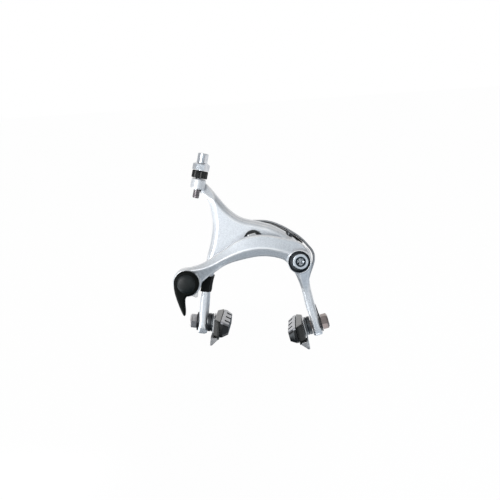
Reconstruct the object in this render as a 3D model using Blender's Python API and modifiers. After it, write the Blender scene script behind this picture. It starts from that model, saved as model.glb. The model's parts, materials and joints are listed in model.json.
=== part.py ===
"""Dual-pivot rim brake caliper for a road bicycle, standing open with no cable fitted.

Frame in metres: the origin lies on the centre bolt's axis, on the face that meets the fork crown.
+X is to the right of someone facing the front, +Y goes back into the fork and +Z is up.
Every size below is in millimetres, angles are in degrees.
"""
import math

import bmesh
import bpy
from mathutils import Matrix, Vector

for old in list(bpy.data.objects):
    bpy.data.objects.remove(old, do_unlink=True)

MM = 0.001
FIT_GAP = 0.3            # between two neighbouring pieces
TOOL_SPIN = 4.3          # turns round cutters so that no facet edge meets another
THROUGH = 60.0           # reach of a cutter that goes right through its piece
EDGE = 0.4               # broken edge of small turned and flat pieces
FORGED_EDGE = 0.8        # broken edge of the forged pieces

# Thicknesses stacked forwards from the fork, along -Y
FORK_SPACER_T = 2.0
BRACKET_T = 6.5
THRUST_WASHER_T = 0.8
Y_HUB_T = 8.0
SEAL_RING_T = 1.2
PIVOT_NUT_T = 2.6
BOLT_TIP_T = 0.3
C_BRIDGE_T = 7.6

# Pivots, out to their side and down from the centre bolt
SIDE_OUT = 28.7
SIDE_DOWN = 14.2
EYE_OUT = 42.1
EYE_DOWN = 23.1

# Radii on the two pivots
PIVOT_SHANK_R = 4.0
BOLT_THREAD_R = 3.0
CENTER_TIP_R = 2.5
BRACKET_CENTER_R = 8.8
BRACKET_SIDE_R = 6.7
BRACKET_WAIST = 4.2      # bracket drawn in under the front arm
THRUST_WASHER_R = 6.3
SEAL_RING_R = 5.9
PIVOT_NUT_FLATS = 8.2
FORK_SPACER_R = 9.5
CENTER_BOLT_TAIL = 29.6
SLEEVE_NUT_R = 4.0
SLEEVE_NUT_LENGTH = 15.0
SLEEVE_NUT_HEAD = 6.0    # of that length behind the bolt's end
SLEEVE_NUT_FLANGE_R = 5.6
SLEEVE_NUT_FLANGE_T = 1.6
HEX_KEY_FLATS = 5.0
HEX_KEY_DEPTH = 2.0
SIDE_BOSS_R = 7.4
SIDE_BOSS_SHIFT = 0.6    # boss and recess stand nearer the centre than the bolt
SIDE_RECESS_R = 6.5
SIDE_RECESS_SHIFT = 0.8
SIDE_RECESS_DEPTH = 3.8
SIDE_HEAD_R = 5.0
SIDE_HEAD_T = 2.3
SIDE_WASHER_R = 5.4
SIDE_WASHER_T = 0.8

# Arms and their slotted legs
LEG_T = 5.6
LEG_WIDTH = 11.0
LEG_Y = -15.0
LEG_END = 7.4            # leg below the stud as photographed
LEG_FLAT = 14.5          # straight part of the leg above the stud
REACH = 53.48            # centre bolt down to the level between the two studs
STUD_SKEW = 2.7          # how far the open brake holds each stud from that level
RIGHT_STUD_OUT = 35.56
RIGHT_LEG_TILT = 12.4
LEFT_STUD_OUT = 35.0
LEFT_LEG_TILT = 8.6
SHOE_UP = 8.5            # height setting left above the photographed place
SHOE_DOWN = 1.5
C_EDGE_RISE = 1.0        # front of an arm in front of its edges, plain and where it has a ridge
C_RIDGE_RISE = 2.6
UNDERCUT = 0.9           # height and depth of the bevel along an arm's lower edge
UNDERCUT_DEPTH = 1.4
Y_BEVEL = 3.0            # width of the bevel round the rear arm's front face
Y_BEVEL_DEPTH = 2.6
NECK_RELIEF_LOW = 26.0   # the rear arm's neck leans back from this height, by these degrees
NECK_RELIEF_SLOPE = 27.0
EYE_R = 8.9

# Quick release on the front arm's eye
SPINDLE_R = 4.2
LEVER_R = 8.0
LEVER_T = 4.0
LEVER_CAP_R = 5.8
LEVER_CAP_T = 1.0
CLAMP_OFFSET = 2.0       # clamp bolt off the spindle's axis
CLAMP_BOLT_R = 2.0
CLAMP_BOLT_LENGTH = 6.0
CLAMP_HEAD_R = 4.1
CLAMP_HEAD_T = 4.0
CLAMP_WASHER_R = 6.0
CLAMP_WASHER_T = 1.5
CLAMP_TAB = 10.4
CLAMP_TAB_R = 1.3
CLAMP_TAB_TURN = -65.7

# Barrel adjuster, measured up its own axis from the bottom of the barrel
BARREL_FOOT = (-34.35, -16.0, 27.77)
BARREL_HEAD = (-27.5, -14.0, 55.04)
ADJUSTER_BOSS_LOW = 5.6
ADJUSTER_BOSS_T = 6.6
ADJUSTER_BOSS_R = 4.65
ADJUSTER_RING_T = 4.8
ADJUSTER_RING_R = 5.0
ADJUSTER_RIBS = 20
ADJUSTER_RIB_DEPTH = 0.3
BARREL_STEM_R = 2.0
BARREL_HEX_FLATS = 9.2
BARREL_HEX_T = 4.8
BARREL_HEX_CHAMFER = 1.9
BARREL_FERRULE_R = 3.4
HOUSING_R = 2.6
HOUSING_DEPTH = 4.2
CABLE_R = 1.0

# Brake shoe, measured inwards from the middle of the leg along the stud
STUD_R = 2.9
STUD_HELD = 2.8          # length of the stud inside the holder
WASHER_R = 5.8
DISHED_EDGE_T = 1.8
DISHED_CENTER_T = 0.8
DISHED_GAP = 0.4         # between the dished and the domed washer, for toe-in
DOMED_T = 1.9
GUIDE_T = 0.8
HOLDER_T = 4.0
PAD_T = 5.1
HOLDER_HEIGHT = 10.3
PAD_FACE_HEIGHT = 6.7
SHOE_LENGTH = 46.0
PAD_FACE_LENGTH = 40.0
SHOE_CORNER = 2.5
HOLDER_CHAMFER = 6.5     # cut back corners of the holder, along Y
SLIT_WIDTH = 1.3
SLIT_DEPTH = 3.2
SLIT_PITCH = 12.5
SLIT_TILT = 18.0
GUIDE_DROP = 10.3
GUIDE_REACH = 11.4
GUIDE_FIN = 13.0         # length of the guide's fin along Y
OUTER_WASHER_T = 0.7
SHOE_NUT_FLATS = 8.5
SHOE_NUT_T = 4.2
SHOE_NUT_CHAMFER = 1.3

# Return spring and centring screw
WIRE_R = 0.75
WIRE_Y = -6.2
HOLDER_WALL = 0.9
SLEEVE_WALL = 0.6
CENTERING_R = 1.6
CENTERING_HEAD_R = 2.5
CENTERING_HEAD_T = 1.6
CENTERING_LENGTH = 6.0
CENTERING_AT = (22.3, 1.0)
CENTERING_SLOPE = 52.0
CENTERING_Y = -14.2

# Where the pivots, the studs and each layer of the stack end up, as X and Z or along Y
CENTER_PIVOT = (0.0, 0.0)
SIDE_PIVOT = (SIDE_OUT, -SIDE_DOWN)
EYE_PIVOT = (-EYE_OUT, -EYE_DOWN)
RIGHT_STUD = (RIGHT_STUD_OUT, -REACH - STUD_SKEW)
LEFT_STUD = (-LEFT_STUD_OUT, -REACH + STUD_SKEW)
BRACKET_BACK = -FORK_SPACER_T - FIT_GAP
BRACKET_FRONT = BRACKET_BACK - BRACKET_T
THRUST_BACK = BRACKET_FRONT - FIT_GAP
HUB_BACK = THRUST_BACK - THRUST_WASHER_T - FIT_GAP
Y_HUB_FRONT = HUB_BACK - Y_HUB_T
SEAL_BACK = Y_HUB_FRONT - FIT_GAP
PIVOT_NUT_BACK = SEAL_BACK - SEAL_RING_T - FIT_GAP
PIVOT_NUT_FRONT = PIVOT_NUT_BACK - PIVOT_NUT_T
CENTER_BOLT_TIP = PIVOT_NUT_FRONT - BOLT_TIP_T
C_BACK = CENTER_BOLT_TIP - 2 * FIT_GAP
C_FRONT = C_BACK - C_BRIDGE_T
EYE_BACK = C_BACK + 0.2
EYE_FRONT = C_FRONT + 0.3
SIDE_BOSS_FRONT = C_FRONT + 0.5
LEVER_BACK = C_FRONT - FIT_GAP
LEVER_FRONT = LEVER_BACK - LEVER_T

# The tables below are drawn for these sizes, and follow the sizes above when those change
DRAWN_EYE_OUT = 42.1
DRAWN_REACH = 53.48

# The front arm from its eye to the centre: upper edge X, Z, lower edge X, Z, back and front of
# the section along Y, and the front face's two borders as parts of the height
C_BRIDGE = [
    (-42.5, -14.6, -38.5, -28.5, C_BACK, C_FRONT, 0.08, 0.16),
    (-38.0, -13.7, -34.7, -25.3, C_BACK, C_FRONT, 0.12, 0.20),
    (-33.0, -12.4, -29.2, -20.9, C_BACK, C_FRONT, 0.26, 0.34),
    (-28.0, -10.1, -24.6, -18.0, C_BACK, C_FRONT, 0.40, 0.48),
    (-22.5, -6.8, -19.2, -14.7, C_BACK, C_FRONT, 0.49, 0.57),
    (-16.5, -3.2, -13.6, -12.6, C_BACK, C_FRONT, 0.53, 0.60),
    (-10.5, 0.4, -8.0, -11.4, C_BACK, C_FRONT, 0.55, 0.61),
    (-4.5, 2.6, -2.5, -10.4, C_BACK, C_FRONT, 0.56, 0.62),
]

# The front arm from the centre to the start of the straight leg, in the same way
C_SHOULDER = [
    (2.5, 3.5, 3.2, -9.8, C_BACK, C_FRONT, 0.56, 0.62),
    (9.5, 3.0, 8.8, -10.1, C_BACK, C_FRONT, 0.56, 0.62),
    (16.0, 1.6, 14.0, -11.2, C_BACK, C_FRONT, 0.57, 0.63),
    (22.5, -0.2, 18.4, -12.9, C_BACK, C_FRONT + 0.4, 0.56, 0.64),
    (28.3, -2.0, 21.0, -15.5, C_BACK + 0.2, C_FRONT + 1.2, 0.50, 0.66),
    (32.7, -6.3, 22.8, -18.2, C_BACK + 1.4, C_FRONT + 1.9, 0.38, 0.74),
    (35.0, -11.2, 24.3, -20.8, C_BACK + 3.2, C_FRONT + 2.4, 0.26, 0.80),
    (35.6, -16.3, 25.4, -23.4, C_BACK + 5.4, C_FRONT + 3.0, 0.18, 0.84),
    (34.4, -20.8, 26.3, -26.1, C_BACK + 7.8, C_FRONT + 4.9, 0.16, 0.84),
    (33.4, -26.0, 27.2, -29.4, C_BACK + 10.2, C_FRONT + 8.2, 0.16, 0.84),
    (33.5, -31.0, 28.1, -33.3, C_BACK + 12.2, C_FRONT + 10.0, 0.16, 0.84),
    (34.2, -36.0, 28.9, -37.8, C_BACK + 13.4, C_FRONT + 10.5, 0.16, 0.84),
]

# The rear arm's leg behind the front arm, in the same way
Y_LEG = [
    (-28.6, -6.0, -19.0, -8.0, HUB_BACK - 0.4, Y_HUB_FRONT + 0.6, 0.30, 0.80),
    (-30.2, -12.0, -22.3, -14.0, HUB_BACK - 0.3, Y_HUB_FRONT - 0.2, 0.26, 0.82),
    (-31.3, -18.5, -26.0, -20.0, HUB_BACK, Y_HUB_FRONT - 1.0, 0.20, 0.84),
    (-32.8, -24.5, -28.2, -25.6, HUB_BACK + 0.4, Y_HUB_FRONT - 1.8, 0.16, 0.84),
    (-34.2, -30.5, -29.5, -31.3, HUB_BACK + 0.7, Y_HUB_FRONT - 2.3, 0.16, 0.84),
]
SLEEVE_TOP = -19.5       # heights between which the black sleeve covers that leg
SLEEVE_LOW = -31.0

# Outline of the rear arm's web round its neck, hub and tail: X, Z and the share of the bevel there
Y_WEB = [
    (-32.0, 31.6, 0.5), (-28.6, 28.8, 0.8), (-26.1, 24.0, 1.0), (-25.1, 16.3, 1.0), (-24.9, 9.4, 1.0),
    (-26.9, -0.6, 1.0), (-29.5, -8.8, 0.8), (-31.7, -18.6, 0.4), (-29.0, -20.4, 0.3), (-25.8, -19.2, 0.4),
    (-23.0, -15.6, 0.5), (-18.6, -12.4, 0.5), (-9.4, -10.6, 0.5), (0.0, -10.2, 0.5), (8.6, -7.6, 0.5),
    (17.0, -4.8, 0.5), (22.8, -4.0, 0.45), (26.3, -4.3, 0.3), (27.1, -3.4, 0.25), (25.0, -1.1, 0.5),
    (20.0, 3.1, 0.9), (12.0, 7.8, 1.0), (2.5, 10.8, 1.0), (-5.4, 13.0, 1.0), (-11.0, 16.4, 1.0),
    (-16.4, 21.8, 1.0), (-21.4, 28.6, 0.9), (-26.6, 35.3, 0.5), (-29.2, 36.5, 0.4), (-31.6, 34.6, 0.4),
]

# Quick-release lever below its disc, from the eye: X and Z
LEVER_TAIL = [
    (-8.0, -2.6), (-7.6, -6.0), (-6.7, -9.8), (-5.6, -13.6), (-4.4, -17.2), (-3.3, -19.8),
    (-2.5, -20.3), (-1.8, -19.4), (-1.5, -16.4), (-1.6, -12.6), (-1.4, -9.6),
]

# Bow of the return spring from the left leg over the hub to the right leg: X and Z
WIRE_ROUTE = [
    (-32.6, -30.0), (-30.4, -22.0), (-27.6, -13.0), (-23.4, -4.2), (-17.4, 3.2), (-9.4, 8.6),
    (0.0, 10.2), (9.4, 9.2), (16.9, 6.2), (23.6, 2.0), (28.8, -2.0), (33.2, -6.9),
    (36.6, -12.2), (36.9, -16.4), (35.6, -20.8), (33.6, -25.8), (32.2, -31.0), (32.2, -37.0),
    (33.4, -43.2), (35.2, -48.8), (36.2, -53.0),
]
LEFT_HOLD_LENGTH = 8.5   # lengths of the wire's ends in their holders
RIGHT_HOLD_LENGTH = 7.6
SEAT_LEFT = 4.0          # X between which the spring seat fills the bow
SEAT_RIGHT = 32.0

PARTS = bpy.data.collections.new("rim_brake_caliper")
TOOLS = bpy.data.collections.new("cutters")
bpy.context.scene.collection.children.link(PARTS)
bpy.context.scene.collection.children.link(TOOLS)

Y_AXIS = Vector((0.0, 1.0, 0.0))


# Materials: colour, roughness and metallic value

ALUMINIUM = ((0.78, 0.80, 0.82), 0.35, 0.9)
BRIGHT_STEEL = ((0.72, 0.73, 0.75), 0.2, 1.0)
DARK_STEEL = ((0.16, 0.16, 0.17), 0.4, 0.9)
WARM_STEEL = ((0.42, 0.35, 0.28), 0.3, 1.0)
SPRING_STEEL = ((0.45, 0.46, 0.48), 0.3, 1.0)
BLACK_PLASTIC = ((0.02, 0.02, 0.022), 0.45, 0.0)
BLACK_RUBBER = ((0.035, 0.035, 0.038), 0.75, 0.0)
BRONZE = ((0.45, 0.30, 0.14), 0.35, 1.0)


def material(name, color, roughness, metallic):
    made = bpy.data.materials.new(name)
    made.use_nodes = True
    shader = made.node_tree.nodes["Principled BSDF"]
    shader.inputs["Base Color"].default_value = (*color, 1.0)
    shader.inputs["Roughness"].default_value = roughness
    shader.inputs["Metallic"].default_value = metallic
    return made


# Making, finishing and cutting

def finish(obj, look, pivot):
    """Files a piece under the parts, or under the cutters if it has no look."""
    if look is None:
        TOOLS.objects.link(obj)
        obj.hide_render = True
        obj.display_type = "WIRE"
        return obj
    PARTS.objects.link(obj)
    obj.data.materials.append(material(obj.name, *look))
    obj.data.shade_smooth()
    obj.data.set_sharp_from_angle(angle=math.radians(32.0))
    if pivot is not None:
        world = obj.matrix_world.copy()
        obj.parent = pivot
        obj.matrix_parent_inverse = pivot.matrix_world.inverted()
        obj.matrix_world = world
    return obj


def pivot_at(name, point):
    empty = bpy.data.objects.new(name, None)
    empty.empty_display_size = 0.01
    empty.location = Vector(point) * MM
    PARTS.objects.link(empty)
    bpy.context.view_layer.update()
    return empty


def axis_frame(origin, axis):
    turn = Vector(axis).normalized().to_track_quat("Z", "Y").to_matrix().to_4x4()
    return Matrix.Translation(Vector(origin) * MM) @ turn


def turned(name, profile, origin, axis, steps, look=None, pivot=None, ring=False):
    """A lathe piece: radius and height pairs from the top down, turned about the axis."""
    mesh = bpy.data.meshes.new(name)
    points = [(radius * MM, 0.0, height * MM) for radius, height in profile]
    edges = [(index, index + 1) for index in range(len(points) - 1)]
    if ring:
        edges.append((len(points) - 1, 0))
    mesh.from_pydata(points, edges, [])
    obj = bpy.data.objects.new(name, mesh)
    obj.matrix_world = axis_frame(origin, axis)
    if look is None:
        obj.matrix_world = obj.matrix_world @ Matrix.Rotation(math.radians(TOOL_SPIN), 4, "Z")
    screw = obj.modifiers.new("Screw", "SCREW")
    screw.axis = "Z"
    screw.angle = 2.0 * math.pi
    screw.steps = steps
    screw.render_steps = steps
    screw.use_merge_vertices = True
    screw.merge_threshold = 0.0001
    screw.use_smooth_shade = True
    return finish(obj, look, pivot)


def disc(name, low, high, radius, origin, axis, steps=28, look=None, pivot=None, edge=EDGE):
    """A round piece between two heights, its rims broken by the edge."""
    profile = [(0.0, high), (radius - edge, high), (radius, high - edge),
               (radius, low + edge), (radius - edge, low), (0.0, low)]
    return turned(name, profile, origin, axis, steps, look, pivot)


def washer(name, low, high, bore, radius, origin, axis, steps=24, look=None, pivot=None):
    profile = [(bore, high), (radius, high), (radius, low), (bore, low)]
    return turned(name, profile, origin, axis, steps, look, pivot, ring=True)


def bore(name, low, high, radius, origin, axis, sides=28):
    """A plain cylinder to cut with, or a prism where the sides are few."""
    shape = bmesh.new()
    bmesh.ops.create_cone(shape, cap_ends=True, segments=sides, radius1=radius * MM, radius2=radius * MM,
                          depth=(high - low) * MM)
    bmesh.ops.translate(shape, verts=shape.verts, vec=(0.0, 0.0, 0.5 * (low + high) * MM))
    mesh = bpy.data.meshes.new(name)
    shape.to_mesh(mesh)
    shape.free()
    obj = bpy.data.objects.new(name, mesh)
    obj.matrix_world = axis_frame(origin, axis) @ Matrix.Rotation(math.radians(TOOL_SPIN), 4, "Z")
    return finish(obj, None, None)


def key_socket(name, mouth, origin):
    """A hexagon to cut a key's socket with, as deep to either side of a head's face across Y."""
    radius = HEX_KEY_FLATS / math.sqrt(3.0)
    return bore(name, mouth - HEX_KEY_DEPTH, mouth + HEX_KEY_DEPTH, radius, origin, Y_AXIS, 6)


def block(name, size, place):
    """A box to cut with, set by a matrix in millimetres."""
    shape = bmesh.new()
    bmesh.ops.create_cube(shape, size=1.0)
    mesh = bpy.data.meshes.new(name)
    shape.to_mesh(mesh)
    shape.free()
    mesh.transform(Matrix.Scale(MM, 4) @ place @ Matrix.Diagonal((*size, 1.0)))
    return finish(bpy.data.objects.new(name, mesh), None, None)


def skin(name, rings, joins, caps, look, pivot):
    """Faces between pairs of rings of equally many points, with some rings filled."""
    count = len(rings[0])
    points = [Vector(point) * MM for ring in rings for point in ring]
    faces = [tuple(range(ring * count, (ring + 1) * count)) for ring in caps]
    for first, second in joins:
        for side in range(count):
            after = (side + 1) % count
            faces.append((first * count + side, first * count + after,
                          second * count + after, second * count + side))
    mesh = bpy.data.meshes.new(name)
    mesh.from_pydata(points, [], faces)
    shape = bmesh.new()
    shape.from_mesh(mesh)
    bmesh.ops.recalc_face_normals(shape, faces=shape.faces)
    shape.to_mesh(mesh)
    shape.free()
    return finish(bpy.data.objects.new(name, mesh), look, pivot)


def loft(name, rings, look=None, pivot=None):
    """A closed body through the rings, each end filled."""
    last = len(rings) - 1
    joins = [(ring, ring + 1) for ring in range(last)]
    return skin(name, rings, joins, (0, last), look, pivot)


def sleeve(name, inner, outer, look=None, pivot=None):
    """A closed tube between two sets of rings that run side by side."""
    last = len(inner) - 1
    joins = [(ring, ring + 1) for ring in range(last)]
    joins += [(last + 1 + ring, last + 2 + ring) for ring in range(last)]
    joins += [(0, last + 1), (last, 2 * last + 1)]
    return skin(name, inner + outer, joins, (), look, pivot)


def nut(name, low, high, flats, chamfer, spin, origin, axis, look=None, pivot=None):
    """A six-sided piece between two heights, its top end drawn in by the chamfer."""
    corner = flats / math.sqrt(3.0)
    place = axis_frame(origin, axis)
    rings = []
    for height, radius in ((low, corner), (high - 0.6 * chamfer, corner), (high, corner - chamfer)):
        ring = []
        for side in range(6):
            angle = math.radians(60.0 * side + spin)
            point = Vector((radius * math.cos(angle), radius * math.sin(angle), height))
            ring.append(place @ (point * MM) / MM)
        rings.append(ring)
    return loft(name, rings, look, pivot)


def from_curve(name, curve, place, look, pivot):
    """Turns a curve into a closed mesh, so that it can be cut or cut others."""
    drawn = bpy.data.objects.new(name + "_curve", curve)
    TOOLS.objects.link(drawn)
    drawn.matrix_world = place
    mesh = bpy.data.meshes.new_from_object(drawn.evaluated_get(bpy.context.evaluated_depsgraph_get()))
    bpy.data.objects.remove(drawn, do_unlink=True)
    shape = bmesh.new()
    shape.from_mesh(mesh)
    bmesh.ops.remove_doubles(shape, verts=shape.verts, dist=0.001 * MM)
    bmesh.ops.recalc_face_normals(shape, faces=shape.faces)
    shape.to_mesh(mesh)
    shape.free()
    obj = bpy.data.objects.new(name, mesh)
    obj.matrix_world = place
    return finish(obj, look, pivot)


def drawn_line(name, dimensions, points, closed):
    curve = bpy.data.curves.new(name, "CURVE")
    curve.dimensions = dimensions
    line = curve.splines.new("POLY")
    line.points.add(len(points) - 1)
    for target, point in zip(line.points, points):
        target.co = (*(Vector(point) * MM).to_3d(), 1.0)
    line.use_cyclic_u = closed
    return curve


def sheet(name, outline, thickness, place, look=None, pivot=None):
    """A flat outline in the X and Y of its place, as thick to either side."""
    curve = drawn_line(name, "2D", outline, True)
    curve.fill_mode = "BOTH"
    curve.extrude = 0.5 * thickness * MM
    return from_curve(name, curve, place, look, pivot)


def wire(name, route, radius, look=None, pivot=None):
    """A round wire along a route of X and Z in the spring's plane."""
    curve = drawn_line(name, "3D", [(x, WIRE_Y, z) for x, z in route], False)
    curve.bevel_depth = radius * MM
    curve.bevel_resolution = 2
    curve.use_fill_caps = True
    return from_curve(name, curve, Matrix.Identity(4), look, pivot)


def combine(obj, tool, operation):
    step = obj.modifiers.new(tool.name, "BOOLEAN")
    step.operation = operation
    step.solver = "EXACT"
    step.object = tool
    return obj


def cut(obj, tool):
    return combine(obj, tool, "DIFFERENCE")


def join(obj, tool):
    return combine(obj, tool, "UNION")


# Outlines and sections

def smooth(points, steps, closed=False):
    """A curve through every given row of numbers, with so many steps to each span."""
    count = len(points)
    spans = count if closed else count - 1
    made = []
    for span in range(spans):
        rows = []
        for offset in (-1, 0, 1, 2):
            index = span + offset
            index = index % count if closed else min(max(index, 0), count - 1)
            rows.append(points[index])
        for step in range(steps):
            t = step / steps
            made.append(tuple(
                0.5 * (2.0 * b + (c - a) * t + (2.0 * a - 5.0 * b + 4.0 * c - d) * t * t
                       + (3.0 * b - a - 3.0 * c + d) * t ** 3)
                for a, b, c, d in zip(*rows)))
    if not closed:
        made.append(tuple(points[-1]))
    return made


def lowered(z):
    """A drawn height, which goes down with the reach below the side pivot."""
    if z > -SIDE_DOWN:
        return z
    return -SIDE_DOWN + (z + SIDE_DOWN) * (REACH - SIDE_DOWN) / (DRAWN_REACH - SIDE_DOWN)


def widened(x):
    """A drawn place on the bridge, which goes out with the eye."""
    return x * EYE_OUT / DRAWN_EYE_OUT


def arc(center, radius, start, end, steps):
    """Points of a circle from one angle to another, both included."""
    angles = [math.radians(start + (end - start) * step / steps) for step in range(steps + 1)]
    return [(center[0] + radius * math.cos(angle), center[1] + radius * math.sin(angle)) for angle in angles]


def rounded(half_width, half_height, radius, corner_steps=3):
    """A rounded rectangle round the origin."""
    x, y = half_width - radius, half_height - radius
    outline = []
    for corner, middle in enumerate(((x, y), (-x, y), (-x, -y), (x, -y))):
        outline += arc(middle, radius, 90.0 * corner, 90.0 * (corner + 1), corner_steps)
    return outline


def belt(first, first_radius, second, second_radius, steps, waist=0.0):
    """The outline of a belt drawn tight round two circles, its lower run drawn in by the waist."""
    across = Vector(second) - Vector(first)
    heading = math.degrees(math.atan2(across.y, across.x))
    lean = math.degrees(math.acos((first_radius - second_radius) / across.length))
    outline = arc(first, first_radius, heading + lean, heading + 360.0 - lean, steps)
    far_end = arc(second, second_radius, heading - lean, heading + lean, steps)
    if waist:
        sideways = Vector((-across.y, across.x)).normalized() * waist
        for step in range(1, 8):
            run = Vector(outline[steps]).lerp(Vector(far_end[0]), step / 8)
            outline.append(tuple(run + sideways * math.sin(math.pi * step / 8)))
    return outline + far_end


def inset(outline, width):
    """An anticlockwise outline drawn in by the width, times each point's own share."""
    made = []
    for index, point in enumerate(outline):
        before, after = outline[index - 1], outline[(index + 1) % len(outline)]
        run = Vector((after[0] - before[0], after[1] - before[1])).normalized()
        share = point[2] if len(point) > 2 else 1.0
        made.append((point[0] - run.y * width * share, point[1] + run.x * width * share))
    return made


def plate(name, outline, levels, look=None, pivot=None):
    """A piece across Y with broken edges: each level is its place along Y and how far it is drawn in."""
    rings = []
    for y, width in levels:
        rings.append([(x, y, z) for x, z in inset(outline, width)])
    return loft(name, rings, look, pivot)


def beside_bolt(shift):
    """Place on the side pivot bolt's axis, moved towards the centre bolt."""
    return (SIDE_PIVOT[0] - shift, 0.0, SIDE_PIVOT[1])


def arm_ring(station, rise, grow=0.0):
    """Nine points round one section of an arm, larger all round by the growth."""
    upper = Vector((station[0], station[1]))
    lower = Vector((station[2], station[3]))
    height = (lower - upper).length
    down = (lower - upper) / height
    back, front = station[4] + grow, station[5] - grow
    edge = min(1.0, 0.2 * height)

    def at(share_down, y):
        point = upper + down * share_down
        return (point.x, y, point.y)

    near = -grow
    far = height + grow
    return [
        at(near + edge, back), at(near, back - edge), at(near, front + rise),
        at(height * station[6] - 0.5 * grow, front), at(height * station[7] + 0.5 * grow, front),
        at(far - UNDERCUT, front + rise), at(far, front + rise + UNDERCUT_DEPTH), at(far, back - edge),
        at(far - edge, back),
    ]


def normals(route):
    """The unit normal of a route of X and Z at each of its points."""
    made = []
    for index in range(len(route)):
        before, after = route[max(index - 1, 0)], route[min(index + 1, len(route) - 1)]
        run = Vector((after[0] - before[0], after[1] - before[1])).normalized()
        made.append(Vector((-run.y, run.x)))
    return made


def wire_block(route, front):
    """Rings of a block round a stretch of the wire, reaching forwards to its carrier."""
    half = WIRE_R + FIT_GAP + HOLDER_WALL
    back = WIRE_Y + half
    rings = []
    for (x, z), normal in zip(route, normals(route)):
        side = normal * half
        rings.append([(x + side.x, back, z + side.y), (x + side.x, front, z + side.y),
                      (x - side.x, front, z - side.y), (x - side.x, back, z - side.y)])
    return rings


def end_stretch(route, length):
    """The points of a route within a length of its first point."""
    return [point for point in route if (Vector(point) - Vector(route[0])).length <= length]


def beyond(route):
    """A place one step before the route's first point."""
    return (2.0 * route[0][0] - route[1][0], 2.0 * route[0][1] - route[1][1])


class Leg:
    """Places points on one slotted leg: inwards along the stud, along Y, and up the leg."""

    def __init__(self, name, stud, tilt, side):
        self.name = name
        self.stud = Vector((stud[0], LEG_Y, stud[1]))
        angle = math.radians(tilt)
        self.inward = Vector((-side * math.cos(angle), 0.0, -math.sin(angle)))
        self.up = Vector((-side * math.sin(angle), 0.0, math.cos(angle)))

    def at(self, inward, along, up):
        return self.stud + self.inward * inward + self.up * up + Y_AXIS * along

    def place(self, inward):
        """A frame whose X runs along Y and whose Y runs up the leg."""
        frame = Matrix((Y_AXIS, self.up, Y_AXIS.cross(self.up))).transposed().to_4x4()
        return Matrix.Translation(self.at(inward, 0.0, 0.0)) @ frame

    def station(self, up, half_width):
        outer = self.at(-0.5 * LEG_T, 0.0, up)
        inner = self.at(0.5 * LEG_T, 0.0, up)
        return (outer.x, outer.z, inner.x, inner.z, LEG_Y + half_width, LEG_Y - half_width, 0.16, 0.84)

    def stations(self):
        half = 0.5 * LEG_WIDTH
        return [self.station(LEG_FLAT, half), self.station(-LEG_END + 4.0, half),
                self.station(-LEG_END + 1.2, half - 1.4), self.station(-LEG_END, half - 3.4)]

    def slot(self):
        radius = STUD_R + FIT_GAP
        outline = arc((0.0, SHOE_UP), radius, 0.0, 180.0, 12)
        outline += arc((0.0, -SHOE_DOWN), radius, 180.0, 360.0, 12)
        return sheet(self.name + "_slot", outline, 2.0 * LEG_T, in_metres(self.place(0.0)))


def in_metres(place):
    made = place.copy()
    made.translation = place.translation * MM
    return made


# Pivots that the moving pieces hang on

C_AXIS = pivot_at("c_arm_axis", (SIDE_PIVOT[0], LEG_Y, SIDE_PIVOT[1]))
Y_ARM_AXIS = pivot_at("y_arm_axis", (CENTER_PIVOT[0], LEG_Y, CENTER_PIVOT[1]))
LEVER_AXIS = pivot_at("release_axis", (EYE_PIVOT[0], LEVER_BACK, EYE_PIVOT[1]))
BARREL_AXIS = pivot_at("adjuster_axis", BARREL_FOOT)

CENTER = (CENTER_PIVOT[0], 0.0, CENTER_PIVOT[1])
SIDE = (SIDE_PIVOT[0], 0.0, SIDE_PIVOT[1])
EYE = (EYE_PIVOT[0], 0.0, EYE_PIVOT[1])
SHANK_BORE = PIVOT_SHANK_R + FIT_GAP
THREAD_BORE = BOLT_THREAD_R + FIT_GAP


# Bracket and the pieces bolted to the fork

bracket_outline = belt(CENTER_PIVOT, BRACKET_CENTER_R, SIDE_PIVOT, BRACKET_SIDE_R, 14, BRACKET_WAIST)
bracket = plate("mounting_bracket", bracket_outline, [
    (BRACKET_BACK, FORGED_EDGE), (BRACKET_BACK - FORGED_EDGE, 0.0),
    (BRACKET_FRONT + FORGED_EDGE, 0.0), (BRACKET_FRONT, FORGED_EDGE),
], ALUMINIUM)
cut(bracket, bore("bracket_center_bore", -THROUGH, THROUGH, SHANK_BORE, CENTER, Y_AXIS))
cut(bracket, bore("bracket_side_bore", -THROUGH, THROUGH, THREAD_BORE, SIDE, Y_AXIS, 20))

washer("fork_spacer", -FORK_SPACER_T, 0.0, THREAD_BORE, FORK_SPACER_R, CENTER, Y_AXIS, 28, ALUMINIUM)
turned("center_bolt", [
    (0.0, CENTER_BOLT_TAIL), (BOLT_THREAD_R - FORGED_EDGE, CENTER_BOLT_TAIL),
    (BOLT_THREAD_R, CENTER_BOLT_TAIL - FORGED_EDGE), (BOLT_THREAD_R, BRACKET_BACK),
    (PIVOT_SHANK_R, BRACKET_BACK - EDGE), (PIVOT_SHANK_R, Y_HUB_FRONT), (CENTER_TIP_R, Y_HUB_FRONT),
    (CENTER_TIP_R, CENTER_BOLT_TIP + EDGE), (CENTER_TIP_R - EDGE, CENTER_BOLT_TIP), (0.0, CENTER_BOLT_TIP),
], CENTER, Y_AXIS, 24, BRIGHT_STEEL)
nut_end = CENTER_BOLT_TAIL + SLEEVE_NUT_HEAD
nut_start = nut_end - SLEEVE_NUT_LENGTH
flange_low = nut_end - SLEEVE_NUT_FLANGE_T
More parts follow.
